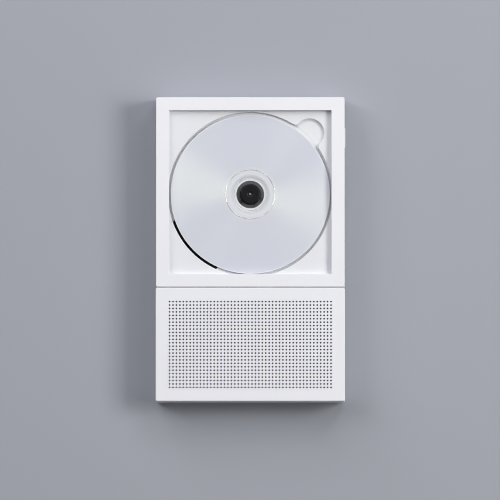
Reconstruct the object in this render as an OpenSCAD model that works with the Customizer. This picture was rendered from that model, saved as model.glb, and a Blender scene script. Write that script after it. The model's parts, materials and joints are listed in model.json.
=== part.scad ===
// Wall mounted disc player: a square player module over a speaker module, hung on a steel plate.
// Frame: the wall is the plane y = 0, the front faces -Y, +Z is up, +X is right seen from the front.
// The origin is the centre of the wall plate's screw pattern, on the wall.

/* [Body] */
// Width of the player module
body_w = 142; // [141:0.5:146]
// Height of the player module
player_h = 143; // [142:0.5:146]
// Width of the speaker module
speaker_w = 142.4; // [141.4:0.2:146]
// Height of the speaker module
speaker_h = 85.2; // [84:0.2:90]
// Gap between the two modules
seam = 0.8; // [0.4:0.1:1.4]
// Depth from the wall to the front face
body_d = 26; // [26:0.5:30]
// Thickness of the casing walls
wall_t = 2.2; // [1.8:0.1:2.4]
// Radius of the casing's long corners
corner_r = 1.2; // [1:0.1:2]
// Radius of the soft edge round the front face
edge_r = 0.5; // [0.3:0.1:0.8]
// Gap between the rear covers and the wall
wall_gap = 1.6; // [1.5:0.1:2]

/* [Window and disc well] */
// Width of the window
window_w = 122.2; // [121.6:0.1:123]
// Height of the window
window_h = 123.55; // [123:0.05:124]
// Border under the window
border_b = 9.65; // [9.3:0.05:10]
// Depth of the tray behind the front face
recess_d = 4; // [4:0.1:4.4]
// Height of the spindle above the player's bottom edge
spindle_up = 70; // [69.6:0.1:70.4]
// Radius of the disc well
well_r = 62; // [61:0.1:62]
// Depth of the well floor behind the tray
well_d = 2.4; // [2.2:0.1:2.5]
// Finger notch: distance right of the spindle
notch_x = 44.6; // [44:0.1:45.2]
// Finger notch: distance above the spindle
notch_z = 46.1; // [45.5:0.1:46.7]
// Width of the pickup opening
opening_w = 48.2; // [46:0.2:50]
// How far the opening is set off sideways
opening_s = -2.6; // [-2.6:0.1:0]
// Direction in which the pickup moves, anticlockwise from right
sled_dir = 225; // [225:1:225]

/* [Disc] */
// Disc radius
disc_r = 60; // [60:0.5:60]
// Disc bore radius
bore_r = 7.5; // [7.5:0.1:7.5]
// Disc thickness
disc_t = 1.2; // [1.2:0.1:1.2]

/* [Grille] */
// Columns of holes
grille_cols = 48; // [24:2:48]
// Rows of holes
grille_rows = 26; // [14:2:26]
// Hole spacing
grille_pitch = 2.583; // [2.2:0.01:2.6]
// Hole diameter
grille_d = 1.3; // [1:0.05:1.5]

/* [Wall plate] */
// Width of the wall plate
plate_w = 92; // [86:1:94]
// Height of the wall plate
plate_h = 180; // [176:1:184]
// Screw spacing across
screw_x = 56; // [50:1:60]
// Screw spacing up
screw_z = 160; // [156:1:160]
// Screw hole radius
screw_r = 2.25; // [2:0.05:2.5]

/* [Drive] */
// Gear module
gear_m = 0.5; // [0.5:0.1:0.5]
// Teeth on the motor pinion
pinion_n = 12; // [12:1:12]
// Teeth on the feed gear's large wheel
wheel_n = 36; // [36:1:36]
// Teeth on the feed gear's small wheel
small_n = 14; // [14:1:14]
// Play between teeth
backlash = 0.1; // [0.06:0.01:0.14]

/* [Hidden] */
$fn = 64;
e = 0.01;
total_h = player_h + seam + speaker_h;
zt = total_h / 2;                 // top of the player
zp = zt - player_h;               // bottom of the player
zs = -zt;                         // bottom of the speaker
zq = zs + speaker_h;              // top of the speaker
pc = (zt + zp) / 2;               // middle of the player
sc = (zs + zq) / 2;               // middle of the speaker
yf = -body_d;                     // front face
yb = -wall_gap;                   // back face of the rear covers
yp = yb - 2.4;                    // parting line of casing and rear cover
yt = yf + recess_d;               // face of the tray
yw = yt + well_d;                 // floor of the well
yu = yw + 1.4;                    // back of the well floor
w0 = zp + border_b;               // window's lower edge
w1 = w0 + window_h;               // window's upper edge
zd = zp + spindle_up;             // height of the spindle
y_disc = yt + 0.2;                // front face of the disc
y_seat = y_disc + disc_t;         // back face of the disc
boss_p = [for (x = [-1, 1], z = [zp + 6.4, zt - 6.4]) [x * (body_w / 2 - 6.4), z]];
boss_s = [for (x = [-1, 1], z = [zs + 6.4, zq - 6.4]) [x * (speaker_w / 2 - 6.6), z]];
tray_pts = [for (x = [-65, 65], z = [zp + 38.5, zp + 103.5]) [x, z]];
baffle_pts = [[0, zq - 5.4], [0, zs + 5.4], [-66, sc], [66, sc]];
damper_pts = [[-16, -17], [-16, 17], [46, -29], [46, 29]];
board_pts = [[-21, zt - 34.5], [-21, zt - 8.5], [57, zt - 8.5], [50, zt - 35.5]];
amp_pts = [[-26, zq - 9.4], [26, zq - 9.4]];
hooks = [[-26, 66], [26, 66], [0, -62]]; // middle and top of the web of each hook
driver_x = 35;
lens_x = 23;                      // the lens starts this far from the spindle
rail_z = 16.6;
rail_y = yf + 14;
gear_x = 29.3;
rack_z = 22.225;                  // pitch line of the rack
gear_z = rack_z + gear_m * small_n / 2;
mesh_a = 142;                     // direction from the feed gear to the pinion
mesh_d = gear_m * (wheel_n + pinion_n) / 2 + 0.02;
pin_x = gear_x + mesh_d * cos(mesh_a);
pin_z = gear_z + mesh_d * sin(mesh_a);
key_y = yf + 15;
rocker_z = zt - 29.65;
rocker_x = body_w / 2 - 4;
joint_x = 53;                     // the joining plates' distance from the middle
notch_r = 11.29;                  // edge of the finger notch at the tray's face
round_r = 3;                      // rounding of the tray's two corners between the well and the notch
round_d = well_r + 0.25 + round_r;
round_a = let (d = norm([notch_x, notch_z]), q = notch_r + round_r) acos((d * d + round_d * round_d - q * q) / (2 * d * round_d));
round_pts = [for (s = [-1, 1]) let (a = atan2(notch_z, notch_x) + s * round_a) [round_d * cos(a), round_d * sin(a)]];

// ---- helpers ----
module bx(x0, x1, y0, y1, z0, z1) translate([x0, y0, z0]) cube([x1 - x0, y1 - y0, z1 - z0]);
module yc(r, y0, y1, x = 0, z = 0) translate([x, y0, z]) rotate([-90, 0, 0]) cylinder(r = r, h = y1 - y0);
module zc(r, z0, z1, x = 0, y = 0) translate([x, y, z0]) cylinder(r = r, h = z1 - z0);
module xc(r, x0, x1, y = 0, z = 0) translate([x0, y, z]) rotate([0, 90, 0]) cylinder(r = r, h = x1 - x0);
// a flat shape in x and z, extruded from y0 to y1
module ey(y0, y1) translate([0, y1, 0]) rotate([90, 0, 0]) linear_extrude(height = y1 - y0) children();
// a flat shape in y and z, extruded along x about its middle
module ex(l) rotate([90, 0, 90]) linear_extrude(height = l, center = true) children();
// a profile of radius and y, turned round a line along Y
module yr(x = 0, z = 0) translate([x, 0, z]) rotate([-90, 0, 0]) rotate_extrude($fn = 96) children();
module rr(w, h, r) {
  square([w - 2 * r, h], center = true);
  square([w, h - 2 * r], center = true);
  for (x = [-1, 1], y = [-1, 1]) translate([x * (w / 2 - r), y * (h / 2 - r)]) circle(r = r);
}
module rx(x0, x1, z0, z1, r) translate([(x0 + x1) / 2, (z0 + z1) / 2]) rr(x1 - x0, z1 - z0, r);
function qa(cx, cy, r, a0, a1, n) = [for (i = [0 : n]) let (a = a0 + (a1 - a0) * i / n) [cx + r * cos(a), cy + r * sin(a)]];
// a block with round long corners and a soft edge round the face at y = 0
module soft(w, h, d, cr, r) {
  function prof(s) = concat([[-s, d]], qa(-s + r, r, r, 180, 270, 5), qa(s - r, r, r, 270, 360, 5), [[s, d]]);
  ex(w - 2 * cr) polygon([for (p = prof(h / 2)) [p[1], p[0]]]);
  linear_extrude(height = h - 2 * cr, center = true) polygon(prof(w / 2));
  for (x = [-1, 1], z = [-1, 1]) yr(x * (w / 2 - cr), z * (h / 2 - cr))
    polygon(concat([[0, d], [0, 0]], qa(cr - r, r, r, 270, 360, 5), [[cr, d]]));
}
// a rectangular cutter from y0 to y1 whose mouth at y = y0 + 1 has a small chamfer
module pit(x0, x1, y0, y1, z0, z1, c) {
  function trap(a, b) = [[a - c - 1, y0], [b + c + 1, y0], [b, y0 + 1 + c], [b, y1], [a, y1], [a, y0 + 1 + c]];
  intersection() {
    translate([0, 0, (z0 + z1) / 2]) linear_extrude(height = z1 - z0 + 8, center = true) polygon(trap(x0, x1));
    translate([(x0 + x1) / 2, 0, 0]) ex(x1 - x0 + 8) polygon([for (p = trap(z0, z1)) [p[1], p[0]]]);
  }
}
// the drive's own frame: +X runs along the pickup's travel
module mech() translate([0, 0, zd]) rotate([0, 360 - sled_dir, 0]) children();
// a screw whose head sits at y0 and whose shank points to the front
module screw(x, z, y0, l, hr, hh, sr) difference() {
  union() {
    yr(x, z) polygon([[0, y0], [hr, y0], [hr, y0 + hh * 0.6], [hr * 0.8, y0 + hh], [0, y0 + hh]]);
    yc(sr, y0 - l, y0 + e, x, z);
  }
  for (a = [0, 90]) translate([x, y0 + hh, z]) rotate([0, a, 0]) cube([hr * 1.2, hh * 0.9, hr * 0.28], center = true);
}

// ---- gears ----
// half the angle of a tooth at radius r, for n teeth of the gear module
function invd(a) = tan(a) * 180 / PI - a;
function half_t(n, r) = let (rp = gear_m * n / 2, rb = rp * cos(20))
  90 / n - backlash / 4 / rp * 180 / PI + invd(20) - (r > rb ? invd(acos(rb / r)) : 0);
function polar(r, a) = [r * cos(a), r * sin(a)];
// outline of a gear with one tooth at angle a0
function gear_pts(n, a0) = let (rp = gear_m * n / 2, rb = rp * cos(20), ra = rp + 0.8 * gear_m, rf = rp - 1.1 * gear_m,
    rs = [for (i = [0 : 4]) max(rb, rf) + (ra - max(rb, rf)) * i / 4])
  [for (t = [0 : n - 1]) let (a = a0 + 360 * t / n) each concat(
    [polar(rf, a - half_t(n, max(rb, rf)))], [for (r = rs) polar(r, a - half_t(n, r))],
    [for (i = [4 : -1 : 0]) polar(rs[i], a + half_t(n, rs[i]))], [polar(rf, a + half_t(n, max(rb, rf)))])];
function rack_tooth(x) = let (p = PI * gear_m, w = p / 4 - backlash / 4)
  [[x - w - 0.625 * tan(20) , rack_z - 0.625], [x - w + 0.4 * tan(20), rack_z + 0.4], [x + w - 0.4 * tan(20), rack_z + 0.4], [x + w + 0.625 * tan(20), rack_z - 0.625]];

// ---- wall side ----
module wall_bracket() color([0.62, 0.63, 0.65]) difference() {
  union() {
    ey(-1.2, 0) rr(plate_w, plate_h, 5);
    for (h = hooks) {
      bx(h[0] - 6, h[0] + 6, -8.2, -0.6, h[1] - 1.2, h[1]);
      bx(h[0] - 6, h[0] + 6, -8.2, -7, h[1] - 1.2, h[1] + 6);
    }
  }
  for (h = hooks) bx(h[0] - 6.6, h[0] + 6.6, -2, 1, h[1], h[1] + 8.6);
  for (x = [-1, 1], z = [-1, 1]) yc(screw_r, -3, 1, x * screw_x / 2, z * screw_z / 2);
}

// ---- player casing ----
module key_hole(x, g) translate([x, key_y, zt - 1]) linear_extrude(height = 6, center = true) rr(10 + 2 * g, 4.4 + 2 * g, 2.1 + g);
module player_front() color([0.93, 0.93, 0.95]) difference() {
  union() {
    difference() {
      translate([0, yf, pc]) soft(body_w, player_h, yp - yf, corner_r, edge_r);
      bx(-body_w / 2 + wall_t, body_w / 2 - wall_t, yf + wall_t, 0, zp + wall_t, zt - wall_t);
    }
    ey(yf + wall_t - e, yt) difference() {
      translate([0, (w0 + w1) / 2]) square([window_w + 3, window_h + 3], center = true);
      translate([0, (w0 + w1) / 2]) square([window_w - 2, window_h - 2], center = true);
    }
    for (p = boss_p) yc(3, yf + wall_t - e, yp - 2.1, p[0], p[1]);
    for (p = tray_pts) yc(2.6, yf + wall_t - e, yt, p[0], p[1]);
    // lip that closes the gap above the speaker module
    bx(-body_w / 2 + 1, body_w / 2 - 1, yf + 0.7, yf + 2.4, zp - seam + 0.05, zp + 1);
    // ears that carry the rocker's pin
    for (y = [key_y - 4.6, key_y + 3.4]) bx(rocker_x - 1.6, body_w / 2 - wall_t + e, y, y + 1.2, rocker_z - 2.6, rocker_z + 2.6);
  }
  pit(-window_w / 2, window_w / 2, yf - 1, yt + 1, w0, w1, 0.2);
  for (p = boss_p) yc(1, yf + 6, 0, p[0], p[1]);
  for (p = tray_pts) yc(0.8, yf + 1.2, yt + 1, p[0], p[1]);
  for (x = [-16, 0, 16]) key_hole(x, 0.15);
  translate([30, yf + 16, zt - 1]) linear_extrude(height = 6, center = true) rr(9.4, 3.6, 1.6);
  zc(3.2, zt - 4, zt + 1, 48, yf + 14.5);
  bx(body_w / 2 - 4, body_w / 2 + 1, key_y - 2.7, key_y + 2.7, rocker_z - 7.7, rocker_z + 7.7);
  yc(0.7, key_y - 5, key_y + 5, rocker_x + 0.4, rocker_z);
  bx(-7.2, 7.2, yf + 12.6, yf + 15.9, zp - 1, zp + wall_t + 1);
}
module player_rear_cover() color([0.92, 0.92, 0.94]) difference() {
  union() {
    translate([0, yb, pc]) mirror([0, 1, 0]) soft(body_w, player_h, yb - yp, corner_r, 0.8);
    ey(yp - 2, yp + e) difference() {
      translate([0, pc]) square([body_w - 2 * wall_t - 0.4, player_h - 2 * wall_t - 0.4], center = true);
      translate([0, pc]) square([body_w - 2 * wall_t - 3.2, player_h - 2 * wall_t - 3.2], center = true);
      for (p = boss_p) translate(p) circle(r = 3.3);
      for (x = [-16, 0, 16, 30]) translate([x, zt - 3]) square([13, 6], center = true);
      translate([48, zt - 3]) square([9, 6], center = true);
      translate([body_w / 2 - 3, rocker_z]) square([6, 19], center = true);
    }
    bx(-39.6, 39.6, yp - 2.2, yp + e, 50.4, 93.6);
    for (p = board_pts) yc(2.4, -7.2, yp + e, p[0], p[1]);
  }
  bx(-38, 38, -4.6, 0, 52, 92);
  for (h = [hooks[0], hooks[1]]) bx(h[0] - 6.2, h[0] + 6.2, -8, 0, h[1] - 9.5, h[1] + 0.05);
  for (p = boss_p) { yc(1.3, -8, 0, p[0], p[1]); yc(2.8, yb - 1.4, 0, p[0], p[1]); }
  for (p = board_pts) yc(0.8, -8, yp + 1, p[0], p[1]);
  for (x = [-1, 1]) joint_recess(x);
}
module joint_recess(s, g = 0.15) {
  bx(s * joint_x - 8 - g, s * joint_x + 8 + g, yb - 1.2, 0, (zp + zq) / 2 - 14 - g, (zp + zq) / 2 + 14 + g);
  for (z = [-8, 8]) yc(0.8, yp + 0.1, 0, s * joint_x, (zp + zq) / 2 + z);
}
module case_screws() color([0.7, 0.71, 0.73]) {
  for (p = concat(boss_p, boss_s)) screw(p[0], p[1], yb - 1.4, 9, 2.3, 1.2, 0.98);
  for (p = tray_pts) screw(p[0], p[1], yt + 1.6, 4, 2.1, 1.2, 0.78);
  for (p = baffle_pts) screw(p[0], p[1], yf + 6, 3.4, 2.1, 1.2, 0.78);
  // the joining plates' screws
  for (s = [-joint_x, joint_x], z = [-8, 8]) screw(s, (zp + zq) / 2 + z, yb - 0.1, 2.2, 1.9, 0.9, 0.78);
}
module wall_pads() color([0.25, 0.25, 0.27]) for (x = [-60, 60], z = [-96, 97]) yr(x, z)
  polygon([[0, yb], [5, yb], [5, -0.5], [4.6, -0.1], [0, -0.1]]);

// ---- tray ----
module opening2d() intersection() {
  circle(r = well_r, $fn = 96);
  translate([0, opening_s - opening_w / 2]) square([well_r + 4, opening_w]);
}
// cuts a corner of the tray back to a round one whose edge slopes like the notch's
module round_cut(f) let (u = f / norm(f), v = ([notch_x, notch_z] - f) / norm([notch_x, notch_z] - f), k = round_r + 3.6) difference() {
  ey(yt - 1, yt + 2.2) translate([0, zd]) polygon([f, f - k * u, f - k * u + k * v, f + k * v]);
  yr(f[0], zd + f[1]) polygon(concat([[0, yt - 2], [round_r, yt - 2]],
    [for (p = qa(0, -0.8, 3, 15.5, 90, 8)) [round_r + 2.89 - p[0], yt + p[1]]], [[round_r + 2.89, yt + 3], [0, yt + 3]]));
}
module disc_tray() color([0.91, 0.91, 0.93]) difference() {
  union() {
    difference() {
      union() {
        ey(yt, yt + 1.6) translate([0, pc]) rr(2 * 67.5, 132.5, 2);
        yc(well_r + 1.4, yt, yu, 0, zd, $fn = 96);
        yc(12.9, yt, yu, notch_x, zd + notch_z);
        for (f = round_pts) yc(4.4, yt, yu, f[0], zd + f[1]);
      }
      yr(0, zd) polygon([[0, yt - 1], [well_r + 1.25, yt - 1], [well_r, yt + 0.25], [well_r, yw], [0, yw]]);
      yr(notch_x, zd + notch_z) polygon(concat([[0, yt + 2.2], [0, yt - 1], [11.28, yt - 1]],
        qa(8.4, yt - 0.8, 3, 15.5, 90, 8)));
      for (f = round_pts) round_cut(f);
    }
    // posts for the dampers
    mech() for (p = damper_pts) yc(1.45, yu - e, yf + 10.8, p[0], p[1]);
  }
  mech() ey(yw - 1, yu + 1) opening2d();
  yc(19, yw - 1, yu + 1, 0, zd);
  mech() for (p = damper_pts) yc(0.9, yw + 0.6, yf + 12, p[0], p[1]);
  for (p = boss_p) yc(3.4, yt - 1, yu + 1, p[0], p[1]);
  for (p = tray_pts) yc(1.2, yt - 1, yt + 3, p[0], p[1]);
}

// ---- disc ----
module disc_plate() color([0.86, 0.9, 0.92, 0.5]) yr(0, zd) polygon([[bore_r, y_disc + 0.1], [bore_r + 0.1, y_disc],
  [18, y_disc], [18, y_disc + 0.1], [59.3, y_disc + 0.1], [59.3, y_disc], [disc_r - 0.1, y_disc], [disc_r, y_disc + 0.1],
  [disc_r, y_seat - 0.1], [disc_r - 0.1, y_seat], [17.7, y_seat], [17.5, y_seat + 0.25], [17.1, y_seat + 0.25], [16.9, y_seat],
  [bore_r + 0.1, y_seat], [bore_r, y_seat - 0.1]]);
module disc_metal_layer() color([0.8, 0.81, 0.84]) yr(0, zd) polygon([[18, y_disc], [59.3, y_disc], [59.3, y_disc + 0.1], [18, y_disc + 0.1]]);
module chuck_hub() color([0.08, 0.08, 0.09]) difference() {
  yr(0, zd) polygon([[0.8, y_seat + 0.1], [7.35, y_seat + 0.1], [7.35, y_seat - 2.3], [7.1, y_seat - 2.7], [6.6, y_seat - 3],
    [2.4, y_seat - 3], [1.7, y_seat - 2.7], [0.8, y_seat - 2.7]]);
  for (a = [90, 210, 330]) translate([0, 0, zd]) rotate([0, -a, 0]) bx(4.9, 8, y_seat - 2.5, y_seat - 0.6, -0.95, 0.95);
}
module ball(a) color([0.75, 0.76, 0.78]) translate([0, 0, zd]) rotate([0, -a, 0]) translate([6.52, y_seat - 1.55, 0]) sphere(r = 0.85);
module chuck_ball_1() ball(90);
module chuck_ball_2() ball(210);
module chuck_ball_3() ball(330);
module turntable() color([0.84, 0.85, 0.87]) yr(0, zd) polygon([[0.8, y_seat + 0.1], [7.9, y_seat + 0.1], [7.9, y_seat + 0.4],
  [10.4, y_seat + 0.4], [10.4, y_seat + 0.1], [11.9, y_seat + 0.1], [12.2, y_seat + 0.4], [18, y_seat + 0.5], [18.2, y_seat + 0.7],
  [18.2, y_seat + 1.5], [18, y_seat + 1.7], [4, y_seat + 1.7], [2.4, y_seat + 2.9], [0.8, y_seat + 2.9]]);
module turntable_mat() color([0.2, 0.2, 0.21]) yr(0, zd) polygon([[7.9, y_seat], [10.4, y_seat], [10.4, y_seat + 0.4], [7.9, y_seat + 0.4]]);
module spindle_shaft() color([0.85, 0.86, 0.88]) yr(0, zd) polygon([[0, y_seat - 3.1], [0.45, y_seat - 3], [0.8, y_seat - 2.6], [0.8, yf + 18.3], [0, yf + 18.3]]);
module spindle_bearing() color([0.72, 0.55, 0.25]) yr(0, zd) polygon([[0.86, yf + 9], [2, yf + 9], [2, yf + 12.4], [0.86, yf + 12.4]]);
module spindle_motor() color([0.68, 0.69, 0.71]) difference() {
  union() {
    yr(0, zd) polygon([[0.9, yf + 9.2], [3, yf + 9.2], [3, yf + 10], [11.2, yf + 10], [12, yf + 10.8], [12, yf + 18], [11.4, yf + 18.6], [0, yf + 18.6], [0, yf + 18.4], [0.9, yf + 18.4]]);
    for (x = [-4, 4]) bx(x - 0.8, x + 0.8, yf + 18.6 - e, yf + 19.6, zd - 9, zd - 6.4);
  }
  yc(2, yf + 9, yf + 12.4, 0, zd);
}

// ---- deck ----
module deck2d() {
  translate([-22, -24]) square([92.4, 48]);
  for (p = [[46, -29], [46, 29]]) translate(p) circle(r = 6.4);
  translate([40, -29]) square([12, 8]);
  translate([40, 21]) square([12, 8]);
  translate([10, 20]) square([32, 22]);
}
module deck_chassis() color([0.07, 0.07, 0.08]) mech() difference() {
  union() {
    ey(yf + 8.6, yf + 10) difference() {
      deck2d();
      translate([13.4, -20.4]) square([42.6, 40.8]);
      translate([50, -10]) square([18.4, 20]);
      for (p = damper_pts) translate(p) circle(r = 3);
      circle(r = 3.1);
      for (x = [-16, 28], z = [0]) translate([pin_x, pin_z]) circle(r = 1.2);
    }
    // walls: two sides and both ends
    bx(13.4, 70.4, yf + 10 - e, yf + 19.6, -24, -22.6);
    bx(68.6, 70.4, yf + 10 - e, yf + 19.6, -24, 22.6);
    bx(-22, -20.6, yf + 10 - e, yf + 15, -24, 24);
    // holders at the inner ends of the rods
    for (z = [-1, 1]) bx(4.6, 8.8, yf + 10 - e, rail_y + 2.3, z * 16.4 - 2.5, z * 16.4 + 2.5);
    // shoulder under the feed gear
    yc(2.4, yf + 10 - e, yf + 13.2, gear_x, gear_z);
    // ring round the sled motor
    difference() {
      yc(8.2, yf + 10 - e, yf + 12, pin_x, pin_z);
      yc(7.05, yf + 10 - 2 * e, yf + 13, pin_x, pin_z);
    }
  }
  for (z = [-rail_z, rail_z]) xc(1.5, 5.8, 69.6, rail_y, z);
  yc(1, yf + 8, yf + 14, gear_x, gear_z);
}
module deck_dampers() color([0.16, 0.16, 0.17]) mech() for (p = damper_pts) yr(p[0], p[1])
  polygon([[1.5, yu + 0.05], [4, yu + 0.05], [4.2, yu + 0.25], [4.2, yf + 8.55], [2.9, yf + 8.55], [2.9, yf + 10.05], [4.2, yf + 10.05],
    [4.2, yf + 10.6], [4, yf + 10.75], [1.5, yf + 10.75]]);
module deck_screws() color([0.7, 0.71, 0.73]) mech() for (p = damper_pts) screw(p[0], p[1], yf + 10.8, 3.6, 3.3, 1.2, 0.85);
module guide_rods() color([0.82, 0.83, 0.85]) mech() for (z = [-rail_z, rail_z]) xc(1.48, 6, 69.5, rail_y, z);
module pickup_sled() color([0.12, 0.12, 0.13]) mech() difference() {
  union() {
    bx(13.6, 32.4, yf + 11.2, yf + 17, -15, 15);
    for (z = [-1, 1]) bx(z > 0 ? 13.6 : 18, z > 0 ? 32.4 : 28, yf + 11.6, yf + 16.4, z > 0 ? 13 : -19.2, z > 0 ? 19.2 : -13);
  }
  xc(1.54, 13, 33, rail_y, rail_z);
  bx(17, 29, rail_y - 1.6, rail_y + 1.6, -20, -14.9);
  bx(15.4, 30.6, yf + 12.6, yf + 18, -11, 11);
  yc(3.4, yf + 10, yf + 13, lens_x, 0);
}
module actuator_base() color([0.74, 0.74, 0.76]) mech() difference() {
  union() {
    bx(15.2, 30.8, yf + 9.8, yf + 11.2, -9.4, 9.4);
    for (z = [-1, 1]) bx(19.8, 26, yf + 7.4, yf + 9.8 + e, z * 7.9 - 0.5, z * 7.9 + 0.5);
  }
  yc(3, yf + 9, yf + 12, lens_x, 0);
}
module actuator_magnets() color([0.3, 0.3, 0.32]) mech() for (z = [-1, 1]) bx(20, 25.8, yf + 7.6, yf + 9.8, z * 6.65 - 0.75, z * 6.65 + 0.75);
module lens_holder() color([0.1, 0.1, 0.11]) mech() difference() {
  union() {
    bx(19.4, 26.6, yf + 6.9, yf + 9.2, -5.2, 5.2);
    yc(3.3, yf + 6.7, yf + 9.2, lens_x, 0);
  }
  yc(2.4, yf + 6, yf + 10, lens_x, 0);
}
module objective_lens() color([0.75, 0.85, 0.95, 0.6]) mech() yr(lens_x, 0)
  polygon([[0, yf + 6.55], [0.8, yf + 6.65], [1.6, yf + 6.95], [2, yf + 7.3], [2.4, yf + 7.3], [2.4, yf + 8], [1.6, yf + 8.1], [0.8, yf + 8.2], [0, yf + 8.25]]);
module sled_rack() color([0.88, 0.86, 0.8]) mech() ey(yf + 14.8, yf + 16.8)
  polygon(concat([[33.4, 19.2], [-10.2, 19.2], [-10.2, rack_z - 0.625]], [for (k = [-24 : 2]) each rack_tooth(gear_x + k * PI * gear_m)], [[33.4, rack_z - 0.625]]));
module feed_gear() color([0.9, 0.88, 0.82]) mech() translate([gear_x, 0, gear_z]) difference() {
  union() {
    ey(yf + 14.7, yf + 17.31) polygon(gear_pts(small_n, -90 + 180 / small_n));
    ey(yf + 17.3, yf + 18.5) polygon(gear_pts(wheel_n, mesh_a));
    yc(2.2, yf + 13.3, yf + 18.9);
  }
  yc(1.05, yf + 12, yf + 20);
  for (a = [0 : 60 : 300]) rotate([0, a, 0]) yc(1.5, yf + 17.1, yf + 19, 5.9, 0);
}
module gear_post() color([0.8, 0.81, 0.83]) mech() translate([gear_x, 0, gear_z]) {
  yc(1, yf + 8.6, yf + 19.2);
  yc(1.9, yf + 19, yf + 19.5);
}
module sled_motor() color([0.66, 0.67, 0.69]) mech() difference() {
  union() {
    yr(pin_x, pin_z) polygon([[0, yf + 10.05], [6.4, yf + 10.05], [7, yf + 10.7], [7, yf + 16.2], [6.4, yf + 16.7], [1.8, yf + 16.7], [1.8, yf + 17.1], [0, yf + 17.1]]);
  }
  yc(0.76, yf + 11.8, yf + 18, pin_x, pin_z);
}
module motor_pinion() color([0.75, 0.6, 0.3]) mech() translate([pin_x, 0, pin_z]) {
  ey(yf + 17.25, yf + 18.7) polygon(gear_pts(pinion_n, mesh_a + 180 + 180 / pinion_n));
  yc(0.7, yf + 12, yf + 19);
}
module light_shield() color([0.05, 0.05, 0.05]) mech() bx(14, 70.4, yf + 19.6, yf + 19.9, -24, 22.6);

// ---- electronics ----
module main_board() color([0.1, 0.35, 0.22]) difference() {
  ey(yf + 17.6, yf + 18.8) rx(-25, 64.4, zt - 38.5, zt - 4.5, 1);
  for (p = board_pts) yc(1.1, -10, -5, p[0], p[1]);
  // clear of the casing's corner boss
  yc(3.5, -10, -5, boss_p[3][0], boss_p[3][1]);
}
module chip(x, z, w, h, t, y) bx(x - w / 2, x + w / 2, y - t, y, z - h / 2, z + h / 2);
module board_chips() color([0.12, 0.12, 0.13]) {
  for (c = [[6, zt - 24, 12, 12, 1.2], [26, zt - 27, 8, 8, 1], [40, zt - 30, 5, 6, 1], [-12, zt - 27, 6, 5, 1.1], [42, zt - 20, 9, 4, 1]]) chip(c[0], c[1], c[2], c[3], c[4], yf + 17.6);
  for (x = [-18, -13.6, -9.2]) yc(1.9, yf + 13.2, yf + 17.6, x, zt - 20);
  chip(-16, zq - 9.4, 7, 7, 1.1, yf + 15.5);
  for (x = [13, 19]) chip(x, zq - 9.4, 4.6, 4.6, 2.6, yf + 15.5);
}
module board_screws() color([0.75, 0.76, 0.78]) {
  for (p = board_pts) mirror_screw(p[0], p[1], yf + 17.6, 3.2);
  for (p = amp_pts) mirror_screw(p[0], p[1], yf + 15.5, 3.2);
}
// a screw whose head faces the front
module mirror_screw(x, z, y0, l) translate([0, y0, 0]) mirror([0, 1, 0]) screw(x, z, 0, l, 1.8, 1, 0.78);
module usb_socket() color([0.78, 0.79, 0.81]) translate([30, yf + 16, 0]) difference() {
  translate([0, 0, zt - 10]) linear_extrude(height = 9.4) rr(8.94, 3.16, 1.5);
  translate([0, 0, zt - 7]) linear_extrude(height = 8) difference() { rr(8.34, 2.56, 1.2); square([6.6, 0.7], center = true); }
  bx(-3.4, 3.4, -2, 2, zt - 1.6, zt + 1);
}
module audio_jack() color([0.15, 0.15, 0.16]) difference() {
  union() {
    bx(44.4, 51.6, yf + 11.2, yf + 17.6, zt - 15, zt - 2.5);
    zc(3, zt - 3, zt - 0.3, 48, yf + 14.5);
  }
  zc(1.8, zt - 14, zt + 1, 48, yf + 14.5);
}
module battery_pack() color([0.3, 0.42, 0.6]) {
  ey(yf + 11.5, yf + 18.4) rx(-66, -34, zt - 68.5, zt - 12, 2.5);
  ey(yf + 12.5, yf + 16) rx(-61, -36, zt - 12.5, zt - 8.5, 1);
  // foam strips that stick it to the cover
  for (z = [zt - 64, zt - 20]) bx(-64, -42, yf + 18.39, yp, z, z + 8);
}
// a push switch on the board whose plunger points up
module tact() {
  bx(-2.6, 2.6, -2, 1.6, 0, 3.5);
  bx(-2, 2, 1.6 - e, 2.6, 0.6, 3);
  bx(-1.2, 1.2, -0.9, 0.9, 3.5 - e, 4.3);
}
module key_switches() color([0.2, 0.2, 0.21]) for (x = [-16, 0, 16]) translate([x, key_y, zt - 8.95]) tact();
module rocker_switches() color([0.2, 0.2, 0.21]) for (z = [-4.8, 4.8]) translate([rocker_x - 6, key_y, rocker_z + z]) rotate([0, 90, 0]) tact();
// a key: stadium cap through the casing, flange behind it and a stem
module key_cap(x) color([0.92, 0.92, 0.94]) translate([x, key_y, 0]) {
  translate([0, 0, zt - 2.6]) linear_extrude(height = 2.85) rr(10, 4.4, 2.1);
  translate([0, 0, zt - 2.8]) linear_extrude(height = 0.25) rr(9.6, 4, 1.9);
  bx(-6.2, 6.2, -2.9, 1.9, zt - 3.5, zt - 2.5);
  bx(-1.5, 1.5, -1.5, 1.5, zt - 4.05, zt - 3.4);
  translate([0, 0, zt + 0.25 - e]) linear_extrude(height = 0.16) rr(9.5, 3.9, 1.85);
}
module play_key() key_cap(0);
module skip_back_key() key_cap(-16);
module skip_forward_key() key_cap(16);
module volume_rocker() color([0.92, 0.92, 0.94]) difference() {
  union() {
    bx(body_w / 2 - 2.9, body_w / 2 + 0.45, key_y - 2.4, key_y + 2.4, rocker_z - 7.35, rocker_z + 7.35);
    bx(body_w / 2 + 0.44, body_w / 2 + 0.6, key_y - 2.2, key_y + 2.2, rocker_z - 7.1, rocker_z + 7.1);
    bx(rocker_x - 1.1, body_w / 2 - 2.8, key_y - 2.4, key_y + 2.4, rocker_z - 6, rocker_z + 6);
  }
  yc(0.76, key_y - 3, key_y + 3, rocker_x + 0.4, rocker_z);
}
module rocker_pin() color([0.8, 0.81, 0.83]) yc(0.7, key_y - 4.6, key_y + 4.6, rocker_x + 0.4, rocker_z);

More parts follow.
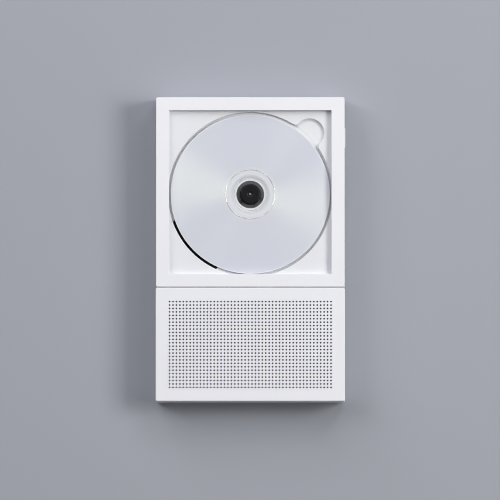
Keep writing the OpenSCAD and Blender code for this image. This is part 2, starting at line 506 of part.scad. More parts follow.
// ---- joint of the two modules ----
module dock_socket() color([0.13, 0.13, 0.14]) difference() {
  bx(-9, 9, yf + 11.2, yf + 17.2, zp + wall_t, zp + 8.5);
  bx(-6.9, 6.9, yf + 12.8, yf + 15.7, zp, zp + 5.2);
}
module dock_plug() color([0.16, 0.16, 0.17]) {
  bx(-6.5, 6.5, yf + 13, yf + 15.5, zq - 6, zp + 4.8);
  bx(-9, 9, yf + 12.4, yf + 15.5, zq - 6, zq - wall_t);
}
module joining_plates() color([0.66, 0.67, 0.69]) for (s = [-1, 1]) difference() {
  ey(yb - 1.2, yb - 0.1) translate([s * joint_x, (zp + zq) / 2]) rr(16, 28, 2);
  for (z = [-8, 8]) yc(1, -5, 0, s * joint_x, (zp + zq) / 2 + z);
}

// ---- speaker module ----
// one half (s = -1 left, 1 right) of a row of the punched field
module hole_row(s) difference() {
  translate([s * grille_cols * grille_pitch / 4, 0]) square([grille_cols * grille_pitch / 2, grille_pitch], center = true);
  for (i = [0 : grille_cols / 2 - 1]) translate([s * (i + 0.5) * grille_pitch, 0]) circle(r = grille_d / 2, $fn = 16);
}
// The punched front is one moulding. It is kept as two halves so that each mesh stays small.
module grille_half(s) color([0.92, 0.93, 0.95]) {
  difference() {
    translate([0, yf, sc]) soft(speaker_w, speaker_h, 2.5, corner_r, edge_r);
    bx(-grille_cols * grille_pitch / 2, grille_cols * grille_pitch / 2, yf - 1, yf + 3, sc - grille_rows * grille_pitch / 2, sc + grille_rows * grille_pitch / 2);
    bx(min(0, -s * 90), max(0, -s * 90), yf - 1, yf + 3, zs - 1, zq + 1);
  }
  // every other row is set back by a hair, which keeps the face in strips that rebuild quickly
  for (j = [0 : grille_rows - 1]) translate([0, 0, sc + (j - (grille_rows - 1) / 2) * grille_pitch]) ey(yf + e * (j % 2), yf + 2.5 - e * (j % 2)) hole_row(s);
}
module grille_left() grille_half(-1);
module grille_right() grille_half(1);
module grille_cloth() color([0.05, 0.05, 0.05]) bx(-63.2, 63.2, yf + 2.5, yf + 2.8, sc - 34.5, sc + 34.5);
module speaker_casing() color([0.92, 0.93, 0.95]) difference() {
  union() {
    ey(yf + 2.5, yp) difference() {
      translate([0, sc]) rr(speaker_w, speaker_h, corner_r);
      translate([0, sc]) square([speaker_w - 2 * wall_t, speaker_h - 2 * wall_t], center = true);
    }
    for (p = boss_s) {
      yc(3, yf + 2.5, yp - 2.1, p[0], p[1]);
      bx(min(p[0], sign(p[0]) * (speaker_w / 2 - 1)), max(p[0], sign(p[0]) * (speaker_w / 2 - 1)), yf + 2.5, yp - 2.1, p[1] - 1.2, p[1] + 1.2);
    }
    for (p = baffle_pts) {
      yc(2.6, yf + 2.5, yf + 4.5, p[0], p[1]);
      if (p[0] == 0) bx(-1.2, 1.2, yf + 2.5, yf + 4.5, min(p[1], sc + sign(p[1] - sc) * (speaker_h / 2 - 1)), max(p[1], sc + sign(p[1] - sc) * (speaker_h / 2 - 1)));
      else bx(min(p[0], sign(p[0]) * (speaker_w / 2 - 1)), max(p[0], sign(p[0]) * (speaker_w / 2 - 1)), yf + 2.5, yf + 4.5, p[1] - 1.2, p[1] + 1.2);
    }
  }
  for (p = boss_s) yc(1, yf + 6, 0, p[0], p[1]);
  for (p = baffle_pts) yc(0.8, yf + 2, yf + 6, p[0], p[1]);
  bx(-7.2, 7.2, yf + 12.6, yf + 15.9, zq - wall_t - 1, zq + 1);
}
module speaker_baffle() color([0.14, 0.14, 0.15]) difference() {
  ey(yf + 4.5, yf + 6) translate([0, sc]) rr(136.8, 80.2, 1);
  for (s = [-1, 1]) {
    yc(23.4, yf + 4, yf + 7, s * driver_x, sc, $fn = 96);
    for (a = [45 : 90 : 315]) yc(0.8, yf + 4, yf + 7, s * driver_x + 25.2 * cos(a), sc + 25.2 * sin(a));
  }
  for (p = boss_s) { yc(3.3, yf + 4, yf + 7, p[0], p[1]); bx(min(p[0], sign(p[0]) * 70), max(p[0], sign(p[0]) * 70), yf + 4, yf + 7, p[1] - 1.5, p[1] + 1.5); }
  for (p = baffle_pts) yc(1.1, yf + 4, yf + 7, p[0], p[1]);
}
module speaker_rear_cover() color([0.92, 0.93, 0.95]) difference() {
  union() {
    translate([0, yb, sc]) mirror([0, 1, 0]) soft(speaker_w, speaker_h, yb - yp, corner_r, 0.8);
    ey(yp - 2, yp + e) difference() {
      translate([0, sc]) square([speaker_w - 2 * wall_t - 0.4, speaker_h - 2 * wall_t - 0.4], center = true);
      translate([0, sc]) square([speaker_w - 2 * wall_t - 3.2, speaker_h - 2 * wall_t - 3.2], center = true);
      for (p = boss_s) { translate(p) circle(r = 3.3); translate([p[0] + sign(p[0]) * 3, p[1]]) square([6, 3], center = true); }
    }
    bx(-39.6, 39.6, yp - 2.2, yp + e, -95.6, -48.4);
    for (p = amp_pts) yc(2.2, yf + 16.7, yp + e, p[0], p[1]);
  }
  bx(-38, 38, -4.6, 0, -94, -50);
  bx(hooks[2][0] - 6.2, hooks[2][0] + 6.2, -8, 0, hooks[2][1] - 9.5, hooks[2][1] + 0.05);
  for (p = boss_s) { yc(1.3, -8, 0, p[0], p[1]); yc(2.8, yb - 1.4, 0, p[0], p[1]); }
  for (p = amp_pts) yc(0.8, -12, yp + 1, p[0], p[1]);
  for (x = [-1, 1]) joint_recess(x);
}
module driver_baskets() color([0.2, 0.2, 0.21]) for (s = [-1, 1]) difference() {
  yr(s * driver_x, sc) polygon([[22.6, yf + 6.5], [26.9, yf + 6.5], [26.9, yf + 7.6], [23.8, yf + 7.6], [14.2, yf + 15], [7.9, yf + 15], [7.9, yf + 14],
    [13.4, yf + 14], [22.6, yf + 7.1]]);
  for (a = [45 : 90 : 315]) {
    yc(0.9, yf + 6, yf + 8, s * driver_x + 25.2 * cos(a), sc + 25.2 * sin(a));
    translate([s * driver_x, 0, sc]) rotate([0, a + 45, 0]) bx(14.6, 21.8, yf + 7.9, yf + 13.8, -6, 6);
  }
}
module driver_motors() color([0.35, 0.35, 0.37]) for (s = [-1, 1]) yr(s * driver_x, sc)
  polygon([[8, yf + 15], [14, yf + 15], [14, yf + 17.2], [13.4, yf + 17.4], [13.4, yf + 18.5], [0, yf + 18.5], [0, yf + 12.8], [6, yf + 12.8], [6, yf + 17.1], [8, yf + 17.1]]);
// half-round rubber ring between the basket and the cone
module driver_surrounds() color([0.1, 0.1, 0.1]) for (s = [-1, 1]) yr(s * driver_x, sc)
  polygon(concat(qa(21.65, yf + 6.1, 1.55, 180, 360, 12), [[24.4, yf + 6.1], [24.4, yf + 6.5], [22.7, yf + 6.5]], qa(21.65, yf + 6.1, 1.1, 350, 190, 12), [[20.1, yf + 6.4]]));
module amp_board() color([0.1, 0.35, 0.22]) difference() {
  ey(yf + 15.5, yf + 16.7) rx(-30, 30, zq - 14.6, zq - 4.2, 0.6);
  for (p = amp_pts) yc(1.1, -12, -8, p[0], p[1]);
}
module cone(s) color([0.15, 0.15, 0.16]) yr(s * driver_x, sc) {
  polygon([[6.65, yf + 9.8], [7.25, yf + 9.8], [7.25, yf + 16], [6.65, yf + 16]]);
  polygon([[7, yf + 9.7], [19.8, yf + 5.9], [19.8, yf + 6.4], [7, yf + 10.2]]);
  polygon([[0, yf + 7.4], [3, yf + 7.8], [5.8, yf + 8.9], [7.6, yf + 9.9], [6.9, yf + 10.2], [5.6, yf + 9.4], [3, yf + 8.3], [0, yf + 7.9]]);
}
module cone_left() cone(-1);
module cone_right() cone(1);

wall_bracket();
player_front();
disc_tray();
player_rear_cover();
case_screws();
wall_pads();
disc_plate();
disc_metal_layer();
chuck_hub();
chuck_ball_1();
chuck_ball_2();
chuck_ball_3();
turntable();
turntable_mat();
spindle_shaft();
spindle_bearing();
spindle_motor();
deck_chassis();
deck_dampers();
deck_screws();
guide_rods();
pickup_sled();
actuator_base();
actuator_magnets();
lens_holder();
objective_lens();
sled_rack();
feed_gear();
gear_post();
sled_motor();
motor_pinion();
light_shield();
main_board();
board_chips();
board_screws();
usb_socket();
audio_jack();
battery_pack();
key_switches();
rocker_switches();
play_key();
skip_back_key();
skip_forward_key();
volume_rocker();
rocker_pin();
dock_socket();
dock_plug();
joining_plates();
grille_left();
grille_right();
grille_cloth();
speaker_casing();
speaker_baffle();
speaker_rear_cover();
driver_baskets();
driver_motors();
driver_surrounds();
amp_board();
cone_left();
cone_right();
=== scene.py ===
"""Looks of the wall mounted disc player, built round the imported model. Metres; the wall is y = 0, the front faces -Y."""

import math
import random

import bmesh
import bpy
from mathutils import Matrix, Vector
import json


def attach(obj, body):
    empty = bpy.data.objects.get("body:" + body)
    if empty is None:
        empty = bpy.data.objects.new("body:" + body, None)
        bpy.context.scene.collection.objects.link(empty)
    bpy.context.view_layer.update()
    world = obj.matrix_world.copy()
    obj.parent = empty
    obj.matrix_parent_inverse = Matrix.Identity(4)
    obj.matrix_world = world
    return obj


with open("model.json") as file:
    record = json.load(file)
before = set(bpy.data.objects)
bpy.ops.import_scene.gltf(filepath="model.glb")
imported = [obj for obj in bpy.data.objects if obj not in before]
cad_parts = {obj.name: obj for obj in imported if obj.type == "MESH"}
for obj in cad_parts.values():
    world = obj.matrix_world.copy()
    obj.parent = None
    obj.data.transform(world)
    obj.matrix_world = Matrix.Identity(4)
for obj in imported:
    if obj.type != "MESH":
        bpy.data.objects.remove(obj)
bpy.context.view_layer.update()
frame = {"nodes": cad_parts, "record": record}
NODES = frame["nodes"]
scene = bpy.context.scene
scene.view_settings.view_transform = "Standard"
scene.view_settings.look = "None"
scene.cycles.use_denoising = True
scene.cycles.filter_width = 1.0
scene.cycles.max_bounces = 10
scene.cycles.diffuse_bounces = 5
scene.cycles.transparent_max_bounces = 16
scene.cycles.caustics_reflective = False
scene.cycles.caustics_refractive = False

MM = 0.001
SPINDLE = (0.0, 0.0415)  # x and z of the disc's axis
DISC_Y = -0.0218  # front face of the disc
GRILLE_Z = -0.0719  # height of the middle of the speaker module


# ---------------------------------------------------------------- materials
class Nodes:
    """A material's node tree, with short calls for the nodes that the finishes use."""

    def __init__(self, name):
        self.mat = bpy.data.materials.new(name)
        self.mat.use_nodes = True
        self.tree = self.mat.node_tree
        self.tree.nodes.clear()
        self.out = self.add("OutputMaterial")
        self._pos = None

    def add(self, kind, **props):
        node = self.tree.nodes.new("ShaderNode" + kind)
        for k, v in props.items():
            setattr(node, k, v)
        return node

    def link(self, a, b):
        self.tree.links.new(a, b)

    def put(self, socket, value):
        if hasattr(value, "is_output"):
            self.link(value, socket)
        else:
            socket.default_value = value

    @property
    def pos(self):
        if self._pos is None:
            self._pos = self.add("TexCoord").outputs["Object"]
        return self._pos

    def maths(self, op, a, b=None, c=None):
        node = self.add("Math", operation=op)
        for i, v in enumerate((a, b, c)):
            if v is not None:
                self.put(node.inputs[i], v)
        return node.outputs[0]

    def split(self, vector=None):
        node = self.add("SeparateXYZ")
        self.link(vector or self.pos, node.inputs[0])
        return node.outputs

    def join(self, x, y, z):
        node = self.add("CombineXYZ")
        for i, v in enumerate((x, y, z)):
            self.put(node.inputs[i], v)
        return node.outputs[0]

    def noise(self, scale, detail=3.0, rough=0.5, vector=None, warp=0.0):
        node = self.add("TexNoise")
        self.link(vector or self.pos, node.inputs["Vector"])
        node.inputs["Scale"].default_value = scale
        node.inputs["Detail"].default_value = detail
        node.inputs["Roughness"].default_value = rough
        node.inputs["Distortion"].default_value = warp
        return node.outputs["Fac"]

    def cells(self, scale, feature="F1", vector=None, out="Distance"):
        node = self.add("TexVoronoi", feature=feature)
        self.link(vector or self.pos, node.inputs["Vector"])
        node.inputs["Scale"].default_value = scale
        return node.outputs[out]

    def span(self, value, a, b, c, d, smooth=False):
        node = self.add("MapRange", interpolation_type="SMOOTHSTEP" if smooth else "LINEAR")
        self.link(value, node.inputs["Value"])
        for k, v in zip(("From Min", "From Max", "To Min", "To Max"), (a, b, c, d)):
            node.inputs[k].default_value = v
        return node.outputs["Result"]

    def ramp(self, value, stops, mode="LINEAR"):
        node = self.add("ValToRGB")
        self.link(value, node.inputs[0])
        ramp = node.color_ramp
        ramp.interpolation = mode
        while len(ramp.elements) < len(stops):
            ramp.elements.new(0.5)
        for e, (p, c) in zip(ramp.elements, stops):
            e.position = p
            e.color = (*(c if hasattr(c, "__len__") else (c, c, c)), 1)
        return node.outputs["Color"]

    def mix(self, fac, a, b, blend="MIX"):
        node = self.add("Mix", data_type="RGBA", blend_type=blend)
        self.put(node.inputs[0], fac)
        for i, v in ((6, a), (7, b)):
            self.put(node.inputs[i], v if hasattr(v, "is_output") else (*v, 1))
        return node.outputs[2]

    def bump(self, height, strength=0.2, distance=0.0001, normal=None):
        node = self.add("Bump")
        node.inputs["Strength"].default_value = strength
        node.inputs["Distance"].default_value = distance
        self.link(height, node.inputs["Height"])
        if normal:
            self.link(normal, node.inputs["Normal"])
        return node.outputs["Normal"]

    def radius(self, centre=SPINDLE):
        """Distance from an axis along Y, in metres."""
        x, _, z = self.split()
        return self.maths("SQRT", self.maths("ADD", self.maths("POWER", self.maths("SUBTRACT", x, centre[0]), 2.0),
                                             self.maths("POWER", self.maths("SUBTRACT", z, centre[1]), 2.0)))

    def surface(self, **inputs):
        node = self.add("BsdfPrincipled")
        for k, v in inputs.items():
            name = k.replace("_", " ")
            if hasattr(v, "__len__") and len(v) == 3 and name in ("Base Color", "Coat Tint", "Sheen Tint", "Specular Tint", "Emission Color"):
                v = (*v, 1)
            self.put(node.inputs[name], v)
        self.link(node.outputs[0], self.out.inputs["Surface"])
        return node


def moulded(name, colour, rough=0.45, grain=0.00035, depth=0.000012, mottle=0.012, specular=0.5, swirl=None, worn=0.0):
    """Moulded plastic: spark-eroded grain, a trace of flow mottling, and skin that is a little shinier in places."""
    n = Nodes(name)
    flow = n.noise(26.0, 4.0, 0.55, warp=0.4)
    speck = n.noise(1.0 / grain, 2.0, 0.5)
    low = tuple(c * (1 - mottle) for c in colour)
    high = tuple(min(1.0, c * (1 + mottle * 0.5)) for c in colour)
    base = n.ramp(flow, [(0.3, low), (0.7, high)])
    if worn:
        scuff = n.span(n.noise(900.0, 5.0, 0.7, n.join(n.split()[0], n.split()[1], n.maths("MULTIPLY", n.split()[2], 0.12))), 0.62, 0.75, 0.0, worn)
        base = n.mix(scuff, base, tuple(min(1.0, c * 1.25 + 0.03) for c in colour))
    rough_map = n.span(n.noise(140.0, 3.0, 0.6), 0.3, 0.7, rough - 0.04, rough + 0.05)
    normal = n.bump(speck, 0.5, depth)
    n.surface(Base_Color=base, Roughness=rough_map, Specular_IOR_Level=specular, Normal=normal)
    return n.mat


def metal(name, colour, rough=0.3, brush=None, tint=0.06, pits=0.0, metallic=1.0):
    """Metal with drawn or rolled lines along one axis, and small changes of tone."""
    n = Nodes(name)
    x, y, z = n.split()
    stretch = {"x": (0.04, 1, 1), "y": (1, 0.04, 1), "z": (1, 1, 0.04), None: (1, 1, 1)}[brush]
    vec = n.join(n.maths("MULTIPLY", x, stretch[0]), n.maths("MULTIPLY", y, stretch[1]), n.maths("MULTIPLY", z, stretch[2]))
    lines = n.noise(2600.0, 3.0, 0.6, vec)
    cloud = n.noise(70.0, 3.0, 0.5)
    base = n.ramp(n.mix(0.5, lines, cloud), [(0.25, tuple(c * (1 - tint) for c in colour)), (0.75, tuple(min(1, c * (1 + tint)) for c in colour))])
    rough_map = n.span(lines, 0.3, 0.7, rough * 0.8, rough * 1.25)
    normal = n.bump(lines, 0.25, 0.00001)
    if pits:
        normal = n.bump(n.span(n.cells(1500.0), 0.0, 0.25, 0.0, 1.0), pits, 0.00003, normal)
    n.surface(Base_Color=base, Metallic=metallic, Roughness=rough_map, Normal=normal)
    return n.mat


def rubber(name, colour=(0.035, 0.035, 0.038)):
    n = Nodes(name)
    dust = n.span(n.noise(300.0, 5.0, 0.65), 0.55, 0.8, 0.0, 0.35)
    base = n.mix(dust, colour, tuple(c * 2.2 + 0.01 for c in colour))
    n.surface(Base_Color=base, Roughness=n.span(n.noise(90.0), 0.3, 0.7, 0.62, 0.8), Specular_IOR_Level=0.35,
              Normal=n.bump(n.noise(4200.0, 2.0), 0.4, 0.00002))
    return n.mat


def make_materials():
    m = {}
    m["white_shell"] = moulded("white_shell", (0.812, 0.820, 0.858), rough=0.46, grain=0.0004, depth=0.00001)
    m["white_tray"] = moulded("white_tray", (0.745, 0.758, 0.788), rough=0.5, grain=0.0003, depth=0.000008)
    m["white_key"] = moulded("white_key", (0.835, 0.843, 0.880), rough=0.38, grain=0.0003, depth=0.000006)
    m["black_plastic"] = moulded("black_plastic", (0.007, 0.007, 0.009), rough=0.48, grain=0.0003, depth=0.00002, mottle=0.25, specular=0.22, worn=0.05)
    m["gloss_black"] = moulded("gloss_black", (0.010, 0.010, 0.011), rough=0.22, grain=0.0006, depth=0.000004, mottle=0.2)
    m["turntable_grey"] = moulded("turntable_grey", (0.855, 0.865, 0.885), rough=0.4, grain=0.0003, depth=0.000008)
    m["gear_acetal"] = moulded("gear_acetal", (0.72, 0.69, 0.60), rough=0.35, grain=0.0005, depth=0.000006, mottle=0.03)
    m["chip_black"] = moulded("chip_black", (0.018, 0.018, 0.019), rough=0.55, grain=0.00012, depth=0.00001, mottle=0.3)
    m["pad_rubber"] = rubber("pad_rubber")
    m["mat_rubber"] = rubber("mat_rubber", (0.095, 0.095, 0.099))
    m["film_black"] = moulded("film_black", (0.008, 0.008, 0.009), rough=0.3, grain=0.002, depth=0.00002, mottle=0.3)
    m["plate_steel"] = metal("plate_steel", (0.60, 0.61, 0.62), 0.46, "z", 0.08, pits=0.1, metallic=0.6)
    m["screw_steel"] = metal("screw_steel", (0.60, 0.61, 0.62), 0.3, None, 0.08)
    m["ball_steel"] = metal("ball_steel", (0.66, 0.67, 0.68), 0.08, None, 0.03)
    m["shaft_steel"] = metal("shaft_steel", (0.68, 0.69, 0.70), 0.16, "y", 0.04)
    m["bronze"] = metal("bronze", (0.50, 0.34, 0.15), 0.45, None, 0.15, pits=0.35)
    m["pinion_brass"] = metal("pinion_brass", (0.62, 0.47, 0.20), 0.28, "y", 0.08)
    m["motor_can"] = metal("motor_can", (0.50, 0.51, 0.53), 0.33, "y", 0.07)
    m["socket_metal"] = metal("socket_metal", (0.62, 0.63, 0.65), 0.28, "z", 0.06)
    m["speaker_steel"] = metal("speaker_steel", (0.05, 0.05, 0.055), 0.45, None, 0.2, pits=0.15)
    m["magnet"] = metal("magnet", (0.20, 0.20, 0.21), 0.42, None, 0.15, pits=0.25)

    # the grille's sheet: white moulded face; its hole walls are painted black just below the face, painted shade inside
    # the holes
    n = Nodes("grille_white")
    x, y, z = n.split()
    flow = n.ramp(n.noise(26.0, 4.0, 0.55, warp=0.4), [(0.3, (0.802, 0.810, 0.848)), (0.7, (0.817, 0.825, 0.863))])
    inside = n.maths("MULTIPLY", n.maths("LESS_THAN", n.maths("ABSOLUTE", x), 0.0622),
                     n.maths("LESS_THAN", n.maths("ABSOLUTE", n.maths("SUBTRACT", z, GRILLE_Z)), 0.0345))
    # painted shade: black on the hole walls deeper than the face, within the grille's area
    hole_wall_painted_shade = n.maths("MULTIPLY", inside, n.span(y, -0.0258, -0.0255, 0.0, 1.0))
    n.surface(Base_Color=n.mix(hole_wall_painted_shade, flow, (0.010, 0.010, 0.011)), Roughness=n.span(n.noise(140.0, 3.0, 0.6), 0.3, 0.7, 0.42, 0.51),
              Normal=n.bump(n.noise(2500.0, 2.0, 0.5), 0.5, 0.00001))
    m["grille_white"] = n.mat

    # the disc's metal layer: fine concentric texture, which pulls highlights out into two opposite wedges
    n = Nodes("disc_silver")
    r = n.radius()
    ring = n.noise(1.0, 2.0, 0.5, n.join(n.maths("MULTIPLY", r, 3000.0), 0.0, 0.0))
    band = n.span(r, 0.0207, 0.0211, 1.0, 0.0, smooth=True)
    base = n.ramp(ring, [(0.2, (0.592, 0.614, 0.684)), (0.8, (0.606, 0.629, 0.697))])
    base = n.mix(band, base, (0.62, 0.64, 0.68))
    tangent = n.add("Tangent", direction_type="RADIAL", axis="Y")
    rough = n.span(n.noise(60.0, 3.0, 0.5), 0.3, 0.7, 0.235, 0.255)
    s = n.surface(Base_Color=base, Roughness=rough, Specular_IOR_Level=0.3)
    sheen = n.add("BsdfAnisotropic")
    sheen.inputs["Color"].default_value = (0.150, 0.163, 0.100, 1)
    sheen.inputs["Anisotropy"].default_value = 0.6
    n.link(rough, sheen.inputs["Roughness"])
    n.link(tangent.outputs[0], sheen.inputs["Tangent"])
    both = n.add("AddShader")
    n.link(s.outputs[0], both.inputs[0])
    n.link(sheen.outputs[0], both.inputs[1])
    n.link(both.outputs[0], n.out.inputs["Surface"])
    m["disc_silver"] = n.mat

    # clear polycarbonate: light passes straight through, with a shiny skin
    n = Nodes("disc_clear")
    clear = n.add("BsdfTransparent")
    haze = n.span(n.noise(180.0, 3.0), 0.3, 0.7, 0.0, 1.0)
    n.link(n.mix(haze, (0.985, 0.99, 0.992), (0.992, 0.996, 0.998)), clear.inputs[0])
    skin = n.add("BsdfGlossy")
    skin.inputs["Roughness"].default_value = 0.12
    skin.inputs["Color"].default_value = (0.95, 0.97, 1.0, 1)
    fres = n.add("Fresnel")
    fres.inputs["IOR"].default_value = 1.45
    front = n.maths("SUBTRACT", 1.0, n.add("NewGeometry").outputs["Backfacing"])
    shader = n.add("MixShader")
    n.link(n.maths("MULTIPLY", fres.outputs[0], front), shader.inputs[0])
    n.link(clear.outputs[0], shader.inputs[1])
    n.link(skin.outputs[0], shader.inputs[2])
    # the rim is painted pale and opaque: a painted highlight for the light that the bevelled edge gathers from inside
    # the plastic; the same pale paint also covers the clear hub
    r = n.radius()
    pale_paint_rim_and_hub = n.add("BsdfPrincipled")
    n.link(n.ramp(n.span(r, 0.04, 0.05, 0.0, 1.0), [(0.0, (0.77, 0.79, 0.83)), (1.0, (0.80, 0.82, 0.87))]), pale_paint_rim_and_hub.inputs["Base Color"])
    pale_paint_rim_and_hub.inputs["Roughness"].default_value = 0.35
    edge = n.add("MixShader")
    # painted light: a pale band over the clear hub, fading in from r 11 to 16 mm and ending at r 30 mm, covers the
    # metal layer's shadow on the turntable beneath
    hub_painted_light = n.maths("MULTIPLY", n.span(r, 0.0110, 0.0160, 0.0, 0.85, smooth=True), n.span(r, 0.0300, 0.0310, 1.0, 0.0))
    # painted highlight: the pale band at the disc's rim, r 59.15 to 59.35 mm
    n.link(n.maths("ADD", hub_painted_light, n.span(r, 0.05915, 0.05935, 0.0, 0.9, smooth=True)), edge.inputs[0])
    n.link(shader.outputs[0], edge.inputs[1])
    n.link(pale_paint_rim_and_hub.outputs[0], edge.inputs[2])
    n.link(edge.outputs[0], n.out.inputs["Surface"])
    m["disc_clear"] = n.mat

    # painted shade: grey rubber for the strip that darkens the gap between the modules
    m["seam_shade_grey"] = rubber("seam_shade_grey", (0.40, 0.405, 0.42))

    # the moulded ring near the disc's middle
    n = Nodes("disc_ring")
    fine = n.noise(2400.0, 3.0, 0.5)
    n.surface(Base_Color=n.ramp(fine, [(0.3, (0.80, 0.82, 0.86)), (0.7, (0.86, 0.88, 0.92))]), Metallic=0.75,
              Roughness=n.span(fine, 0.3, 0.7, 0.18, 0.26), Normal=n.bump(fine, 0.2, 0.000005))
    m["disc_ring"] = n.mat

    n = Nodes("lens_glass")
    n.surface(Base_Color=n.ramp(n.noise(400.0), [(0.3, (0.10, 0.16, 0.30)), (0.7, (0.14, 0.12, 0.34))]), Roughness=0.05, Coat_Weight=1.0,
              Coat_Roughness=0.02, Specular_IOR_Level=0.8, Transmission_Weight=0.55, IOR=1.5)
    m["lens_glass"] = n.mat

    # printed circuit board: solder mask with traces showing through and bare pads
    n = Nodes("board_green")
    x, y, z = n.split()
    traces = n.add("TexBrick")
    n.link(n.join(x, z, 0.0), traces.inputs["Vector"])
    traces.inputs["Scale"].default_value = 130.0
    traces.inputs["Mortar Size"].default_value = 0.03
    traces.inputs["Color1"].default_value = (0.012, 0.075, 0.040, 1)
    traces.inputs["Color2"].default_value = (0.014, 0.088, 0.046, 1)
    traces.inputs["Mortar"].default_value = (0.035, 0.17, 0.075, 1)
    pads = n.span(n.cells(420.0, vector=n.join(x, z, 0.0)), 0.16, 0.2, 1.0, 0.0)
    base = n.mix(pads, traces.outputs["Color"], (0.55, 0.50, 0.36))
    n.surface(Base_Color=base, Roughness=n.span(pads, 0.0, 1.0, 0.3, 0.35), Metallic=n.maths("MULTIPLY", pads, 0.8),
              Normal=n.bump(traces.outputs["Fac"], 0.3, 0.00003))
    m["board_green"] = n.mat

    # shrink wrap round the cell, with soft creases
    n = Nodes("battery_wrap")
    crease = n.noise(160.0, 4.0, 0.6, warp=1.2)
    base = n.ramp(crease, [(0.3, (0.085, 0.13, 0.24)), (0.7, (0.11, 0.165, 0.29))])
    n.surface(Base_Color=base, Roughness=n.span(crease, 0.3, 0.7, 0.22, 0.36), Coat_Weight=0.4, Coat_Roughness=0.15,
              Normal=n.bump(crease, 0.35, 0.0002))
    m["battery_wrap"] = n.mat

    # acoustic cloth: a plain weave at 0.35 mm
    n = Nodes("cloth_black")
    x, y, z = n.split()
    warp = n.maths("SINE", n.maths("MULTIPLY", x, 2 * math.pi / 0.00035))
    weft = n.maths("SINE", n.maths("MULTIPLY", z, 2 * math.pi / 0.00035))
    weave = n.maths("MULTIPLY", warp, weft)
    base = n.ramp(n.span(weave, -1.0, 1.0, 0.0, 1.0), [(0.0, (0.002, 0.002, 0.002)), (1.0, (0.008, 0.008, 0.009))])
    n.surface(Base_Color=base, Roughness=0.9, Sheen_Weight=0.15, Specular_IOR_Level=0.1, Normal=n.bump(weave, 0.6, 0.0001))
    m["cloth_black"] = n.mat

    # pressed paper cone
    n = Nodes("cone_paper")
    fibre = n.noise(900.0, 6.0, 0.75, warp=0.8)
    base = n.ramp(fibre, [(0.3, (0.012, 0.012, 0.013)), (0.8, (0.045, 0.045, 0.047))])
    n.surface(Base_Color=base, Roughness=0.8, Specular_IOR_Level=0.2, Normal=n.bump(fibre, 0.5, 0.00008))
    m["cone_paper"] = n.mat
    return m


MATS = make_materials()
SLOT = {row["node"]: row["material_slot"] for row in frame["record"]["subparts"]}
for name, obj in NODES.items():
    obj.data.materials.clear()
    own = {"grille_left": "grille_white", "grille_right": "grille_white", "turntable_mat": "mat_rubber"}
    obj.data.materials.append(MATS[own.get(name, SLOT[name])])


# ---------------------------------------------------------------- helpers for pieces
def mesh_piece(name, bm, material, body, smooth=True):
    bm.normal_update()
    data = bpy.data.meshes.new(name)
    bm.to_mesh(data)
    bm.free()
    for p in data.polygons:
        p.use_smooth = smooth
    data.materials.append(material)
    obj = bpy.data.objects.new(name, data)
    scene.collection.objects.link(obj)
    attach(obj, body)
    return obj


def turned(profile, centre=SPINDLE, steps=180):
    """A ring or disc turned round an axis along Y. profile: (radius, y) points of a closed outline, in metres."""
    bm = bmesh.new()
    rows = []
    for i in range(steps):
        a = 2 * math.pi * i / steps
        rows.append([bm.verts.new((centre[0] + r * math.cos(a), y, centre[1] + r * math.sin(a))) for r, y in profile])
    count = len(profile)
    for i in range(steps):
        a, b = rows[i], rows[(i + 1) % steps]
        for j in range(count):
            bm.faces.new((a[j], a[(j + 1) % count], b[(j + 1) % count], b[j]))
    bmesh.ops.recalc_face_normals(bm, faces=bm.faces)
    return bm


def make_details():
    """Small shapes that ride on the disc and the spindle."""
    # stacking ring on the disc's face
    ring = [(0.01832, DISC_Y + 0.00008), (0.01832, DISC_Y - 0.00006), (0.01845, DISC_Y - 0.0002), (0.01862, DISC_Y - 0.0002),
            (0.01875, DISC_Y - 0.00006), (0.01875, DISC_Y + 0.00008)]
    mesh_piece("disc_stacking_ring", turned(ring), MATS["disc_ring"], "disc")
    # soft grey strip in the gap between the two modules, with round ends and a crowned face; its grey is painted shade
    # that darkens the seam
    bm = bmesh.new()
    z0, z1, y0, y1 = -0.02928, -0.02852, -0.0254, -0.02528
    rows = []
    for i in range(61):
        x = -0.0697 + 0.1394 * i / 60
        edge = min(1.0, (0.0697 - abs(x)) / 0.0005)
        crown = 0.00006 * math.sqrt(max(0.0, 1 - (1 - edge) ** 2))
        rows.append([bm.verts.new((x, y1, z0)), bm.verts.new((x, y0, z0)), bm.verts.new((x, y0 - crown * 0.7, z0 * 0.75 + z1 * 0.25)),
                     bm.verts.new((x, y0 - crown, (z0 + z1) / 2)), bm.verts.new((x, y0 - crown * 0.7, z0 * 0.25 + z1 * 0.75)),
                     bm.verts.new((x, y0, z1)), bm.verts.new((x, y1, z1))])
    for a, b in zip(rows, rows[1:]):
        for j in range(7):
            bm.faces.new((a[j], a[(j + 1) % 7], b[(j + 1) % 7], b[j]))
    bm.faces.new(rows[0])
    bm.faces.new(rows[-1][::-1])
    bmesh.ops.recalc_face_normals(bm, faces=bm.faces)
    mesh_piece("seam_shade_strip", bm, MATS["seam_shade_grey"], "player", smooth=False)
    # thin inner ring of the mat, between the hub and the disc's bore
    lip = [(0.00737, -0.0205), (0.00737, -0.02056), (0.00742, -0.02058), (0.00785, -0.02058), (0.00789, -0.02056), (0.00789, -0.0205)]
    mesh_piece("mat_lip", turned(lip), MATS["black_plastic"], "spindle")
    # domed end of the shaft, in the middle of the hub
    dome = [(0.00005, -0.0236)] + [(0.0006 * math.cos(a), -0.02372 - 0.00018 * math.sin(a)) for a in (0.0, 0.3, 0.6, 0.9, 1.2, 1.5)]
    mesh_piece("shaft_end", turned(dome, steps=48), MATS["ball_steel"], "spindle")


